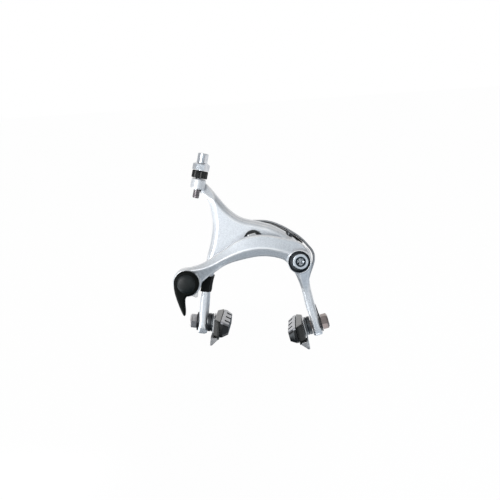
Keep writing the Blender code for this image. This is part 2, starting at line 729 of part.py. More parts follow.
sleeve_nut = turned("sleeve_nut", [
    (0.0, nut_end), (SLEEVE_NUT_FLANGE_R, nut_end), (SLEEVE_NUT_FLANGE_R, flange_low),
    (SLEEVE_NUT_R, flange_low), (SLEEVE_NUT_R, nut_start), (THREAD_BORE, nut_start),
    (THREAD_BORE, CENTER_BOLT_TAIL + FIT_GAP), (0.0, CENTER_BOLT_TAIL + FIT_GAP),
], CENTER, Y_AXIS, 24, DARK_STEEL)
cut(sleeve_nut, key_socket("sleeve_nut_socket", nut_end, CENTER))

thrust_front = THRUST_BACK - THRUST_WASHER_T
for name, place in (("center_thrust_washer", CENTER), ("side_thrust_washer", SIDE)):
    washer(name, thrust_front, THRUST_BACK, SHANK_BORE, THRUST_WASHER_R, place, Y_AXIS, 24, BRONZE)
tip_bore = CENTER_TIP_R + FIT_GAP
washer("center_seal_ring", SEAL_BACK - SEAL_RING_T, SEAL_BACK, tip_bore, SEAL_RING_R, CENTER, Y_AXIS, 28,
       BLACK_PLASTIC)
pivot_nut = nut("center_pivot_nut", -PIVOT_NUT_BACK, -PIVOT_NUT_FRONT, PIVOT_NUT_FLATS, EDGE, 12.0, CENTER,
                -Y_AXIS, BRIGHT_STEEL)
cut(pivot_nut, bore("pivot_nut_bore", -THROUGH, THROUGH, tip_bore, CENTER, Y_AXIS, 24))

recess_floor = SIDE_BOSS_FRONT + SIDE_RECESS_DEPTH
side_washer_back = recess_floor - FIT_GAP
side_washer_front = side_washer_back - SIDE_WASHER_T
head_back = side_washer_front - FIT_GAP
head_front = head_back - SIDE_HEAD_T
thread_end = BRACKET_BACK - FORGED_EDGE
side_bolt = turned("side_pivot_bolt", [
    (0.0, thread_end), (BOLT_THREAD_R - EDGE, thread_end), (BOLT_THREAD_R, thread_end - EDGE),
    (BOLT_THREAD_R, THRUST_BACK), (PIVOT_SHANK_R, THRUST_BACK), (PIVOT_SHANK_R, head_back),
    (SIDE_HEAD_R, head_back), (SIDE_HEAD_R, head_front + EDGE), (SIDE_HEAD_R - EDGE, head_front),
    (0.0, head_front),
], SIDE, Y_AXIS, 28, BRIGHT_STEEL)
cut(side_bolt, key_socket("side_bolt_socket", head_front, SIDE))
washer("side_pivot_washer", side_washer_front, side_washer_back, SHANK_BORE, SIDE_WASHER_R, SIDE, Y_AXIS, 24,
       DARK_STEEL)


# Return spring and its seat on the bracket

wire_path = smooth([(x, lowered(z)) for x, z in WIRE_ROUTE], 2)
wire("return_spring", wire_path, WIRE_R, SPRING_STEEL)
bracket_run = Vector(SIDE_PIVOT) - Vector(CENTER_PIVOT)
bracket_lean = math.acos((BRACKET_CENTER_R - BRACKET_SIDE_R) / bracket_run.length)
above_bracket = Vector((1.0, 0.0))
above_bracket.rotate(Matrix.Rotation(math.atan2(bracket_run.y, bracket_run.x) + bracket_lean, 2))
seat_back = BRACKET_BACK - EDGE
seat_front = BRACKET_FRONT + EDGE
seat_rings = []
for point in wire_path:
    if not SEAT_LEFT < point[0] < SEAT_RIGHT or point[1] < -SIDE_DOWN:
        continue
    height = Vector(point).dot(above_bracket) - Vector(CENTER_PIVOT).dot(above_bracket)
    top = Vector(point) - above_bracket * (WIRE_R + 1.2 * FIT_GAP)
    low = Vector(point) - above_bracket * (height - BRACKET_CENTER_R - FIT_GAP)
    seat_rings.append([(top.x, seat_back, top.y), (top.x, seat_front, top.y),
                       (low.x, seat_front, low.y), (low.x, seat_back, low.y)])
loft("spring_seat", seat_rings, BLACK_PLASTIC)


# Front arm

RIGHT = Leg("right", RIGHT_STUD, RIGHT_LEG_TILT, 1.0)
LEFT = Leg("left", LEFT_STUD, LEFT_LEG_TILT, -1.0)
LEG_BACK = LEG_Y + 0.5 * LEG_WIDTH

c_rings = []
bridge = [(widened(a), b, widened(c), d, *rest) for a, b, c, d, *rest in C_BRIDGE]
shoulder = [(a, lowered(b), c, lowered(d), *rest) for a, b, c, d, *rest in C_SHOULDER]
c_path = smooth(bridge + shoulder + RIGHT.stations()[:1], 2)
for station in c_path + RIGHT.stations()[1:]:
    ridge = max(0.0, 1.0 - (station[7] - station[6]) / 0.4)
    c_rings.append(arm_ring(station, C_EDGE_RISE + (C_RIDGE_RISE - C_EDGE_RISE) * ridge))
c_arm = loft("c_arm", c_rings, ALUMINIUM, C_AXIS)
join(c_arm, disc("c_arm_eye", EYE_FRONT, EYE_BACK, EYE_R, EYE, Y_AXIS, 36, edge=FORGED_EDGE))
join(c_arm, disc("c_arm_boss", SIDE_BOSS_FRONT, HUB_BACK, SIDE_BOSS_R, beside_bolt(SIDE_BOSS_SHIFT), Y_AXIS,
                 32))
cut(c_arm, bore("c_arm_eye_bore", -THROUGH, THROUGH, SPINDLE_R + FIT_GAP, EYE, Y_AXIS, 24))
cut(c_arm, bore("c_arm_side_bore", -THROUGH, THROUGH, SHANK_BORE, SIDE, Y_AXIS, 28))
cut(c_arm, bore("c_arm_recess", -THROUGH, recess_floor, SIDE_RECESS_R, beside_bolt(SIDE_RECESS_SHIFT),
                Y_AXIS, 30))
cut(c_arm, RIGHT.slot())

wire_from_right = wire_path[::-1]
right_hold = end_stretch(wire_from_right, RIGHT_HOLD_LENGTH)
slider = loft("right_spring_slider", wire_block(right_hold, LEG_BACK + FIT_GAP), BLACK_PLASTIC, C_AXIS)
right_groove = [beyond(right_hold)] + wire_from_right[:len(right_hold) + 1]
cut(slider, wire("right_groove", right_groove, WIRE_R + FIT_GAP))


# Quick release on the eye of the front arm

lever_outline = arc(EYE_PIVOT, LEVER_R, -92.0, 174.0, 19)
lever_outline += [(EYE_PIVOT[0] + x, EYE_PIVOT[1] + z) for x, z in LEVER_TAIL]
lever = plate("release_lever", lever_outline, [
    (LEVER_BACK, EDGE), (LEVER_BACK - EDGE, 0.0), (LEVER_FRONT + 3 * EDGE, 0.0), (LEVER_FRONT, 2 * EDGE),
], BLACK_PLASTIC, LEVER_AXIS)
cut(lever, bore("lever_bore", -THROUGH, THROUGH, SPINDLE_R + FIT_GAP, EYE, Y_AXIS, 24))
cap_back = LEVER_FRONT - FIT_GAP
disc("release_cap", cap_back - LEVER_CAP_T, cap_back, LEVER_CAP_R, EYE, Y_AXIS, 28, BLACK_PLASTIC, LEVER_AXIS)
spindle_back = EYE_BACK + FIT_GAP
spindle = disc("release_spindle", LEVER_FRONT + FIT_GAP, spindle_back, SPINDLE_R, EYE, Y_AXIS, 24,
               BRIGHT_STEEL, LEVER_AXIS)
CLAMP = (EYE_PIVOT[0], 0.0, EYE_PIVOT[1] - CLAMP_OFFSET)
clamp_bore = CLAMP_BOLT_R + FIT_GAP
clamp_end = spindle_back - CLAMP_BOLT_LENGTH
cut(spindle, bore("spindle_thread", clamp_end - FIT_GAP, THROUGH, clamp_bore, CLAMP, Y_AXIS, 20))
washer_low = spindle_back + FIT_GAP
washer_high = washer_low + CLAMP_WASHER_T
tab_end = arc(EYE_PIVOT, CLAMP_TAB, CLAMP_TAB_TURN, CLAMP_TAB_TURN, 1)[0]
clamp_outline = belt((CLAMP[0], CLAMP[2]), CLAMP_WASHER_R, tab_end, CLAMP_TAB_R, 10)
clamp = plate("cable_clamp_washer", clamp_outline, [
    (washer_high, EDGE), (washer_high - EDGE, 0.0), (washer_low, 0.0),
], BRIGHT_STEEL, LEVER_AXIS)
cut(clamp, bore("clamp_washer_bore", -THROUGH, THROUGH, clamp_bore, CLAMP, Y_AXIS, 20))
clamp_seat = washer_high + FIT_GAP
clamp_top = clamp_seat + CLAMP_HEAD_T
clamp_bolt = turned("cable_clamp_bolt", [
    (0.0, clamp_top), (CLAMP_HEAD_R - EDGE, clamp_top), (CLAMP_HEAD_R, clamp_top - EDGE),
    (CLAMP_HEAD_R, clamp_seat), (CLAMP_BOLT_R, clamp_seat), (CLAMP_BOLT_R, clamp_end), (0.0, clamp_end),
], CLAMP, Y_AXIS, 24, BRIGHT_STEEL, LEVER_AXIS)
cut(clamp_bolt, key_socket("clamp_bolt_socket", clamp_top, CLAMP))


# Rear arm

web = smooth(Y_WEB, 3, closed=True)
y_arm = plate("y_arm", web, [
    (HUB_BACK, FORGED_EDGE), (HUB_BACK - FORGED_EDGE, 0.0), (Y_HUB_FRONT + Y_BEVEL_DEPTH, 0.0),
    (Y_HUB_FRONT + 0.4 * Y_BEVEL_DEPTH, 0.4 * Y_BEVEL), (Y_HUB_FRONT, Y_BEVEL),
], ALUMINIUM, Y_ARM_AXIS)
screw_slope = math.radians(CENTERING_SLOPE)
screw_axis = Vector((math.cos(screw_slope), 0.0, math.sin(screw_slope)))
screw_seat = Vector((CENTERING_AT[0], CENTERING_Y, CENTERING_AT[1])) + screw_axis * FIT_GAP
relief = Matrix.Translation((Y_WEB[0][0], Y_HUB_FRONT, NECK_RELIEF_LOW))
relief @= Matrix.Rotation(math.radians(-NECK_RELIEF_SLOPE), 4, "X")
relief @= Matrix.Translation((0.0, -0.5 * THROUGH, 0.0))
cut(y_arm, block("neck_relief", (THROUGH, THROUGH, THROUGH), relief))
cut(y_arm, bore("y_arm_hub_bore", -THROUGH, THROUGH, SHANK_BORE, CENTER, Y_AXIS, 28))
cut(y_arm, bore("centering_bore", -3.0 * CENTERING_LENGTH, 3.0 * CENTERING_LENGTH, CENTERING_R + FIT_GAP,
                screw_seat, screw_axis, 16))
y_leg = [(a, lowered(b), c, lowered(d), *rest) for a, b, c, d, *rest in Y_LEG]
leg_path = smooth(y_leg + LEFT.stations()[:1], 3)
leg_rings = [arm_ring(station, C_EDGE_RISE) for station in leg_path + LEFT.stations()[1:]]
join(y_arm, loft("y_arm_leg", leg_rings))
cut(y_arm, LEFT.slot())
barrel_foot = Vector(BARREL_FOOT)
barrel_rise = (Vector(BARREL_HEAD) - barrel_foot).normalized()
barrel_length = (Vector(BARREL_HEAD) - barrel_foot).length
boss_high = ADJUSTER_BOSS_LOW + ADJUSTER_BOSS_T
stem_bore = BARREL_STEM_R + FIT_GAP
join(y_arm, disc("y_arm_boss", ADJUSTER_BOSS_LOW, boss_high, ADJUSTER_BOSS_R, barrel_foot, barrel_rise, 28))
cut(y_arm, bore("y_arm_boss_bore", -0.5 * barrel_length, barrel_length, stem_bore, barrel_foot, barrel_rise,
                20))

sleeve_path = [row for row in leg_path if lowered(SLEEVE_LOW) < row[1] < lowered(SLEEVE_TOP)]
leg_sleeve = sleeve("left_leg_sleeve", [arm_ring(station, C_EDGE_RISE, FIT_GAP) for station in sleeve_path],
                    [arm_ring(station, C_EDGE_RISE, FIT_GAP + SLEEVE_WALL) for station in sleeve_path],
                    BLACK_PLASTIC, Y_ARM_AXIS)
left_hold = end_stretch(wire_path, LEFT_HOLD_LENGTH)
sleeve_back = max(station[4] for station in sleeve_path) + FIT_GAP + 0.5 * SLEEVE_WALL
join(leg_sleeve, loft("left_hold", wire_block(left_hold, sleeve_back)))
left_groove = [beyond(left_hold)] + wire_path[:len(left_hold) + 1]
cut(leg_sleeve, wire("left_groove", left_groove, WIRE_R + FIT_GAP))

turned("centering_screw", [
    (0.0, CENTERING_HEAD_T), (CENTERING_HEAD_R - EDGE, CENTERING_HEAD_T),
    (CENTERING_HEAD_R, CENTERING_HEAD_T - EDGE), (CENTERING_HEAD_R, 0.0), (CENTERING_R, 0.0),
    (CENTERING_R, -CENTERING_LENGTH), (0.0, -CENTERING_LENGTH),
], screw_seat, screw_axis, 16, DARK_STEEL, Y_ARM_AXIS)


# Barrel adjuster on the neck of the rear arm

ring_low = boss_high + FIT_GAP
ring_high = ring_low + ADJUSTER_RING_T
barrel_frame = axis_frame(barrel_foot, barrel_rise)
ring_rings = []
ring_levels = [(ring_low, EDGE), (ring_low + EDGE, 0.0), (ring_high - EDGE, 0.0), (ring_high, EDGE)]
for height, drawn_in in ring_levels:
    ring = []
    for rib in range(2 * ADJUSTER_RIBS):
        radius = ADJUSTER_RING_R - drawn_in - ADJUSTER_RIB_DEPTH * (rib % 2)
        angle = math.pi * rib / ADJUSTER_RIBS
        point = Vector((radius * math.cos(angle), radius * math.sin(angle), height))
        ring.append(barrel_frame @ (point * MM) / MM)
    ring_rings.append(ring)
knob = loft("adjuster_ring", ring_rings, BLACK_PLASTIC, BARREL_AXIS)
cut(knob, bore("adjuster_ring_bore", -barrel_length, barrel_length, stem_bore, barrel_foot, barrel_rise, 20))

hex_low = ring_high + FIT_GAP
housing_floor = barrel_length - HOUSING_DEPTH
barrel = turned("adjuster_barrel", [
    (CABLE_R, housing_floor), (HOUSING_R, housing_floor), (HOUSING_R, barrel_length),
    (BARREL_FERRULE_R - EDGE, barrel_length), (BARREL_FERRULE_R, barrel_length - EDGE),
    (BARREL_FERRULE_R, hex_low + EDGE), (BARREL_STEM_R, hex_low + EDGE), (BARREL_STEM_R, EDGE),
    (BARREL_STEM_R - EDGE, 0.0), (CABLE_R, 0.0),
], barrel_foot, barrel_rise, 24, BRIGHT_STEEL, BARREL_AXIS, ring=True)
flange = nut("barrel_flange", hex_low, hex_low + BARREL_HEX_T, BARREL_HEX_FLATS, BARREL_HEX_CHAMFER, 10.0,
             barrel_foot, barrel_rise)
inside_stem = 0.5 * (CABLE_R + BARREL_STEM_R)
cut(flange, bore("barrel_flange_bore", -barrel_length, barrel_length, inside_stem, barrel_foot, barrel_rise,
                 20))
join(barrel, flange)


# Brake shoes

DISHED_LOW = 0.5 * LEG_T + FIT_GAP
DISHED_RISE = DISHED_EDGE_T - DISHED_CENTER_T
DOMED_EDGE = DISHED_LOW + DISHED_EDGE_T + DISHED_GAP
DOMED_TOP = DOMED_EDGE - DISHED_RISE + DOMED_T
GUIDE_LOW = DOMED_TOP + FIT_GAP
HOLDER_LOW = GUIDE_LOW + GUIDE_T + FIT_GAP
HOLDER_TOP = HOLDER_LOW + HOLDER_T
PAD_LOW = HOLDER_TOP + FIT_GAP
PAD_FACE = PAD_LOW + PAD_T
STUD_TOP = HOLDER_LOW + STUD_HELD
OUTER_WASHER_LOW = 0.5 * LEG_T + FIT_GAP
NUT_LOW = OUTER_WASHER_LOW + OUTER_WASHER_T + FIT_GAP
NUT_HIGH = NUT_LOW + SHOE_NUT_T
STUD_BORE = STUD_R + FIT_GAP
SHOE_HALF = 0.5 * SHOE_LENGTH
SHOE_TALL = 0.5 * HOLDER_HEIGHT


def shoe_stud(leg, pivot, nut_look):
    """Stud, nut and the washers on either side of the leg."""
    stud_end = -NUT_HIGH + EDGE
    turned(leg.name + "_stud", [
        (0.0, STUD_TOP), (STUD_R, STUD_TOP), (STUD_R, stud_end + EDGE), (STUD_R - EDGE, stud_end),
        (0.0, stud_end),
    ], leg.stud, leg.inward, 20, DARK_STEEL, pivot)
    turned(leg.name + "_dished_washer", [
        (STUD_BORE, DISHED_LOW + DISHED_CENTER_T), (WASHER_R, DISHED_LOW + DISHED_EDGE_T),
        (WASHER_R, DISHED_LOW), (STUD_BORE, DISHED_LOW),
    ], leg.stud, leg.inward, 24, DARK_STEEL, pivot, ring=True)
    turned(leg.name + "_domed_washer", [
        (STUD_BORE, DOMED_TOP), (WASHER_R, DOMED_TOP), (WASHER_R, DOMED_EDGE),
        (STUD_BORE, DOMED_EDGE - DISHED_RISE),
    ], leg.stud, leg.inward, 24, DARK_STEEL, pivot, ring=True)
    washer(leg.name + "_outer_washer", OUTER_WASHER_LOW, OUTER_WASHER_LOW + OUTER_WASHER_T, STUD_BORE,
           WASHER_R, leg.stud, -leg.inward, 24, BLACK_PLASTIC, pivot)
    shoe_nut = nut(leg.name + "_nut", NUT_LOW, NUT_HIGH, SHOE_NUT_FLATS, SHOE_NUT_CHAMFER, 8.0, leg.stud,
                   -leg.inward, nut_look, pivot)
    cut(shoe_nut, bore(leg.name + "_nut_bore", -THROUGH, THROUGH, STUD_BORE, leg.stud, leg.inward, 20))


def shoe_holder(leg, pivot):
    plan = [(HOLDER_LOW, SHOE_HALF - HOLDER_CHAMFER),
            (HOLDER_LOW + 0.65 * HOLDER_T, SHOE_HALF - 0.25 * HOLDER_CHAMFER), (HOLDER_TOP, SHOE_HALF)]
    plan += [(inward, -along) for inward, along in reversed(plan)]
    rings = []
    levels = [(-SHOE_TALL, EDGE), (-SHOE_TALL + EDGE, 0.0), (SHOE_TALL - EDGE, 0.0), (SHOE_TALL, EDGE)]
    for up, drawn_in in levels:
        ring = []
        for inward, along in plan:
            outside = drawn_in if inward < HOLDER_TOP else 0.0
            ring.append(leg.at(inward + outside, along - math.copysign(drawn_in, along), up))
        rings.append(ring)
    holder = loft(leg.name + "_holder", rings, BLACK_PLASTIC, pivot)
    cut(holder, bore(leg.name + "_holder_bore", 0.0, STUD_TOP + FIT_GAP, STUD_BORE, leg.stud, leg.inward, 20))


def shoe_pad(leg, pivot):
    face_half = 0.5 * PAD_FACE_LENGTH
    face_tall = 0.5 * PAD_FACE_HEIGHT
    sections = [
        (PAD_LOW, SHOE_HALF - EDGE, SHOE_TALL),
        (PAD_LOW + 0.3 * PAD_T, SHOE_HALF - EDGE, SHOE_TALL - 0.5 * EDGE),
        (PAD_FACE - 0.2 * PAD_T, face_half + 2 * EDGE, face_tall + EDGE),
        (PAD_FACE, face_half, face_tall),
    ]
    rings = []
    for inward, along, up in sections:
        rings.append([leg.at(inward, y, z) for y, z in rounded(along, up, SHOE_CORNER)])
    pad = loft(leg.name + "_pad", rings, BLACK_RUBBER, pivot)
    tilt = Matrix.Rotation(math.radians(SLIT_TILT), 4, "Y")
    for slit in (-1, 0, 1):
        place = leg.place(PAD_FACE) @ Matrix.Translation((slit * SLIT_PITCH, 0.0, 0.0)) @ tilt
        size = (SLIT_WIDTH, 2.0 * HOLDER_HEIGHT, 2.0 * SLIT_DEPTH)
        cut(pad, block("%s_slit_%d" % (leg.name, slit + 2), size, place))


def shoe_guide(leg, pivot):
    """Sheet-metal plate under the holder, with a fin that leads the wheel in between the pads."""
    near = -SHOE_HALF + 1.5
    outline = [
        (7.0, -SHOE_TALL + 0.6), (7.0, SHOE_TALL - 1.2), (5.6, SHOE_TALL), (-5.6, SHOE_TALL),
        (-7.2, SHOE_TALL - 1.4), (-8.8, -SHOE_TALL + 0.4), (near, -SHOE_TALL - 0.2), (near, -GUIDE_DROP),
        (near + 1.4, -GUIDE_DROP), (-7.0, -SHOE_TALL - 0.8), (5.6, -SHOE_TALL - 0.4),
    ]
    root = GUIDE_LOW + 0.5 * GUIDE_T
    place = in_metres(leg.place(root))
    guide = sheet(leg.name + "_wheel_guide", outline, GUIDE_T, place, BRIGHT_STEEL, pivot)
    under = -SHOE_TALL - FIT_GAP - 0.1
    rings = []
    for along, share in ((near + 0.2, 1.0), (near + GUIDE_FIN, 0.12)):
        drop = under + (-GUIDE_DROP + 0.1 - under) * share
        reach = root + (GUIDE_REACH - root) * share
        ring = [(root, under), (root, drop - 0.4 * share), (root + 0.9, drop), (reach + 0.5, under)]
        rings.append([leg.at(inward, along, up) for inward, up in ring])
    join(guide, loft(leg.name + "_guide_fin", rings))
    cut(guide, bore(leg.name + "_guide_bore", 0.0, 12.0, STUD_BORE, leg.stud, leg.inward, 20))


for leg, nut_look in ((LEFT, BRIGHT_STEEL), (RIGHT, WARM_STEEL)):
    shoe_axis = pivot_at(leg.name + "_shoe_axis", leg.stud)
    shoe_stud(leg, shoe_axis, nut_look)
    shoe_holder(leg, shoe_axis)
    shoe_pad(leg, shoe_axis)
    shoe_guide(leg, shoe_axis)

bpy.context.view_layer.update()
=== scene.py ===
import json
import math

import bpy
from mathutils import Matrix, Vector


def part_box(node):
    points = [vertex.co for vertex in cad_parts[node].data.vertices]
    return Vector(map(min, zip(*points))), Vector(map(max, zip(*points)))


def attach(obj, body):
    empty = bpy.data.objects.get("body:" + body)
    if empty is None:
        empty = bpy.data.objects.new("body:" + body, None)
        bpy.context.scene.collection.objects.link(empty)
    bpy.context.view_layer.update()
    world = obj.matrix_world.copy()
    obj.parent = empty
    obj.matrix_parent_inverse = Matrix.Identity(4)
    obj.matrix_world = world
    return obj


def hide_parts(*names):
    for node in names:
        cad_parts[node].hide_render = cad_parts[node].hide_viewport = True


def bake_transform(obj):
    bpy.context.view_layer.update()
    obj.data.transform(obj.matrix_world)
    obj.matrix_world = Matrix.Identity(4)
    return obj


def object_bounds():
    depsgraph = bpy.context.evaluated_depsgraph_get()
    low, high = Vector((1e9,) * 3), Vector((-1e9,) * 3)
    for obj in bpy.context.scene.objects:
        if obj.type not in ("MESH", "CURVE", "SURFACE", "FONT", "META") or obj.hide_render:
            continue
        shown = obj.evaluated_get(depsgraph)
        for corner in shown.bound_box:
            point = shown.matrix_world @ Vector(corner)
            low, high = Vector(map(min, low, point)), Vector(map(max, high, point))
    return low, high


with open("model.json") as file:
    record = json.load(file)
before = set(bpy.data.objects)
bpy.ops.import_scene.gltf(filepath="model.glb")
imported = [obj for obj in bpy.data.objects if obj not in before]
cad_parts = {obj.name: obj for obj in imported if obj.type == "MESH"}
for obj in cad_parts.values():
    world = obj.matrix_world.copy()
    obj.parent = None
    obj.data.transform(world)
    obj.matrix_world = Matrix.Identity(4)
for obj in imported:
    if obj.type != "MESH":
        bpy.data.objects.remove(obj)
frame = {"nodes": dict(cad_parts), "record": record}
cad_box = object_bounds()
NODES = frame["nodes"]
BODY_OF = {node: body for body, nodes in frame["record"]["behaviour"]["bodies"].items() for node in nodes}
MM = 0.001
PER_MM = 1000.0


# Camera of the photograph

CAMERA_AZIMUTH = math.radians(2.8)
CAMERA_RISE = math.radians(7.4)
CAMERA_ROLL = math.radians(3.8)
CAMERA_PLACE = Vector((0.034106, -0.765756, 0.090584))
CAMERA_LENS = 87.1
FILM_WIDTH = 36.0
NEAREST_SEEN = 0.01
back = Vector((math.sin(CAMERA_AZIMUTH) * math.cos(CAMERA_RISE),
               -math.cos(CAMERA_AZIMUTH) * math.cos(CAMERA_RISE), math.sin(CAMERA_RISE)))
level = Vector((math.cos(CAMERA_AZIMUTH), math.sin(CAMERA_AZIMUTH), 0.0))
upright = back.cross(level)
right = level * math.cos(CAMERA_ROLL) - upright * math.sin(CAMERA_ROLL)
up = level * math.sin(CAMERA_ROLL) + upright * math.cos(CAMERA_ROLL)
camera = bpy.data.objects.new("camera", bpy.data.cameras.new("camera"))
camera.data.lens = CAMERA_LENS
camera.data.sensor_width = FILM_WIDTH
camera.data.clip_start = NEAREST_SEEN
bpy.context.scene.collection.objects.link(camera)
camera.matrix_world = Matrix.Translation(CAMERA_PLACE) @ Matrix((right, up, back)).transposed().to_4x4()
bpy.context.scene.camera = camera


# Shader maths

class Value:
    """An output in a node tree. Arithmetic with it adds Math nodes to the tree."""

    def __init__(self, tree, output=None):
        self.tree = tree
        self.output = output

    def node(self, kind, settings=None, inputs=None, output=0):
        """Adds a node with its settings and with values or links on its sockets."""
        made = self.tree.nodes.new(kind)
        for name, value in (settings or {}).items():
            if name == "stops":
                stops = made.color_ramp.elements
                while len(stops) < len(value):
                    stops.new(1.0)
                for stop, (place, shade) in zip(stops, value):
                    stop.position = place
                    stop.color = (shade, shade, shade, 1.0)
            else:
                setattr(made, name, value)
        for name, value in (inputs or {}).items():
            if isinstance(value, Value):
                self.tree.links.new(value.output, made.inputs[name])
            else:
                made.inputs[name].default_value = value
        return Value(self.tree, made.outputs[output] if made.outputs else None)

    def math(self, operation, first, second):
        return self.node("ShaderNodeMath", {"operation": operation}, {0: first, 1: second})

    def __add__(self, other):
        return self.math("ADD", self, other)

    def __radd__(self, other):
        return self.math("ADD", other, self)

    def __sub__(self, other):
        return self.math("SUBTRACT", self, other)

    def __rsub__(self, other):
        return self.math("SUBTRACT", other, self)

    def __mul__(self, other):
        return self.math("MULTIPLY", self, other)

    def __rmul__(self, other):
        return self.math("MULTIPLY", other, self)

    def ramp(self, *stops):
        return self.node("ShaderNodeValToRGB", {"stops": stops}, {"Fac": self})

    def colours(self, low, high):
        """The first colour where this value is 0, the second where it is 1, and a blend between."""
        return self.node("ShaderNodeMix", {"data_type": "RGBA"}, {0: self, 6: low, 7: high}, 2)

    def bump(self, strength, depth):
        return self.node("ShaderNodeBump", None, {"Height": self, "Strength": strength, "Distance": depth})


def noise(place, size, detail=3.0, roughness=0.5):
    """Cloudy variation whose blotches are about the given length across."""
    return place.node("ShaderNodeTexNoise", None, {
        "Vector": place, "Scale": 1.0 / size, "Detail": detail, "Roughness": roughness}, "Fac")


def measured(place, name):
    """A number that was stored on the piece's points or faces under this name."""
    return place.node("ShaderNodeAttribute", {"attribute_name": name}, None, "Fac")


def stretched(place, x, y, z):
    """Object coordinates pressed together along the axes, to draw a pattern out."""
    return place.node("ShaderNodeMapping", {"vector_type": "POINT"},
                      {"Vector": place, "Scale": (x, y, z)}, "Vector")


def begin(name):
    """A new material and the Object coordinates that its pattern starts from."""
    made = bpy.data.materials.new(name)
    made.use_nodes = True
    made.node_tree.nodes.clear()
    start = Value(made.node_tree)
    return made, start.node("ShaderNodeTexCoord", output="Object")


def shade(place, **sockets):
    """Ends a material in a Principled shader with these values on its sockets."""
    named = {name.replace("_", " ").title().replace("Ior", "IOR"): value for name, value in sockets.items()}
    shader = place.node("ShaderNodeBsdfPrincipled", None, named)
    place.node("ShaderNodeOutputMaterial", None, {"Surface": shader})


# Places that the finishes follow

def middle_of(node):
    """X and Z of the middle of a round node that lies along Y."""
    low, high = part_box(node)
    return 0.5 * (low.x + high.x), 0.5 * (low.z + high.z)


PIVOT_X, PIVOT_Z = middle_of("side_pivot_bolt")
# Where the painted shadow in the side pivot's recess lies: a circle set a little left of the bolt, between
# the recess's mouth and its floor
RECESS_X = PIVOT_X - 0.8 * MM
RECESS_R = 6.8 * MM
RECESS_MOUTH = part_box("side_pivot_bolt")[0].y - 0.2 * MM
RECESS_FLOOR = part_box("side_pivot_washer")[1].y + 1.2 * MM
RINGS_PER_METRE = 26000.0 / (2.0 * math.pi)
# painted shade: the reach of the dark ring painted round the bolt's key socket
SOCKET_SHADE_REACH = 4.0 * MM
HEAD_RIM_MM = 4.8
BROWN_TOP_MM = 33.0


# Finishes

LACQUER_DARK, LACQUER_PALE = (0.62, 0.645, 0.68, 1.0), (0.84, 0.87, 0.91, 1.0)
RUBBED_SILVER = (0.92, 0.92, 0.93, 1.0)
# painted shade: a darker blue-grey for the forging's hollows
SILVER_HOLLOW_SHADE = (0.52, 0.53, 0.56, 1.0)
# painted shadow: near-black colour for the side pivot's recess
RECESS_SHADOW = (0.016, 0.026, 0.036, 1.0)
# painted shade: the dark colour painted on the bolt head's rim and round its socket
HEAD_STEEL, HEAD_SHADE = (0.62, 0.67, 0.72, 1.0), (0.018, 0.028, 0.038, 1.0)
PLATING_DARK, PLATING_PALE = (0.52, 0.54, 0.58, 1.0), (0.70, 0.72, 0.75, 1.0)
BROWN_DARK, BROWN_PALE = (0.15, 0.13, 0.14, 1.0), (0.28, 0.25, 0.25, 1.0)
# painted sheen: pale grey for the upper sides of the pads, where light falls
PAINTED_TOP_SHEEN = (0.52, 0.52, 0.55, 1.0)
FLAKE = 0.22 * MM
SPECKLE = 0.9 * MM
TOOL_LINE = 0.16 * MM
LINE_STRETCH = 8.0
SKIN_GRAIN = 0.28 * MM
PIT = 0.6 * MM
SHALLOW = 0.04 * MM


def part_of(place, axis):
    """One of the three coordinates."""
    return place.node("ShaderNodeSeparateXYZ", None, {"Vector": place}, axis)


def from_axis(place, x, z):
    """Distance from a line along Y through the given X and Z."""
    across = part_of(place, "X") - x
    height = part_of(place, "Z") - z
    return place.math("SQRT", across * across + height * height, 0.0)


def satin_silver(name):
    """Silver lacquer on a forging: flakes under it, edges rubbed bright, painted shade in its hollows and a
    painted shadow in the pivot's recess.
    """
    made, place = begin(name)
    flake = noise(place, FLAKE, 2.0)
    cloud = noise(place, 9.0 * MM, 3.0)
    edge = measured(place, "edge")
    speckle = noise(place, SPECKLE, 2.0, 0.7).ramp((0.36, 0.0), (0.64, 1.0))
    grain = 0.5 * flake.ramp((0.34, 0.0), (0.68, 1.0)) + 0.5 * speckle
    worn = edge.ramp((0.52, 0.0), (0.62, 1.0)) * cloud.ramp((0.35, 0.3), (0.65, 1.0))
    # Painted shade: hollows in the forging are painted a darker blue-grey.
    hollow_shade = edge.ramp((0.38, 1.0), (0.48, 0.0)) * 0.5
    # Painted shadow: the side pivot's recess, between its mouth and floor, is painted near black with
    # mottling, with less metal and coat.
    inside = place.math("LESS_THAN", from_axis(place, RECESS_X, PIVOT_Z), RECESS_R)
    deep = place.math("GREATER_THAN", part_of(place, "Y"), RECESS_MOUTH)
    behind = place.math("GREATER_THAN", part_of(place, "Y"), RECESS_FLOOR)
    recess_shadow = inside * deep * (1.0 - behind) * cloud.ramp((0.2, 0.75), (0.6, 1.0))
    tone = grain.colours(LACQUER_DARK, LACQUER_PALE)
    tone = worn.colours(tone, RUBBED_SILVER)
    tone = hollow_shade.colours(tone, SILVER_HOLLOW_SHADE)
    tone = recess_shadow.colours(tone, RECESS_SHADOW)
    shade(place, base_color=tone, metallic=0.66 - 0.5 * recess_shadow,
          roughness=0.38 + 0.10 * grain - 0.08 * worn, normal=flake.bump(0.12, SHALLOW),
          coat_weight=0.25 - 0.2 * recess_shadow, coat_roughness=0.22)
    return made


def bright_steel(name, colour, roughness):
    """Plated steel with faint tool lines round it and a few blotches."""
    made, place = begin(name)
    lines = noise(stretched(place, 1.0, LINE_STRETCH, LINE_STRETCH), TOOL_LINE * LINE_STRETCH, 2.0)
    cloud = noise(place, 2.2 * MM, 4.0)
    low = [0.82 * c for c in colour]
    tone = cloud.ramp((0.3, 0.0), (0.7, 1.0)).colours((*low, 1.0), (*colour, 1.0))
    shade(place, base_color=tone, metallic=1.0, roughness=roughness + 0.16 * cloud * lines,
          normal=lines.bump(0.08, SHALLOW))
    return made


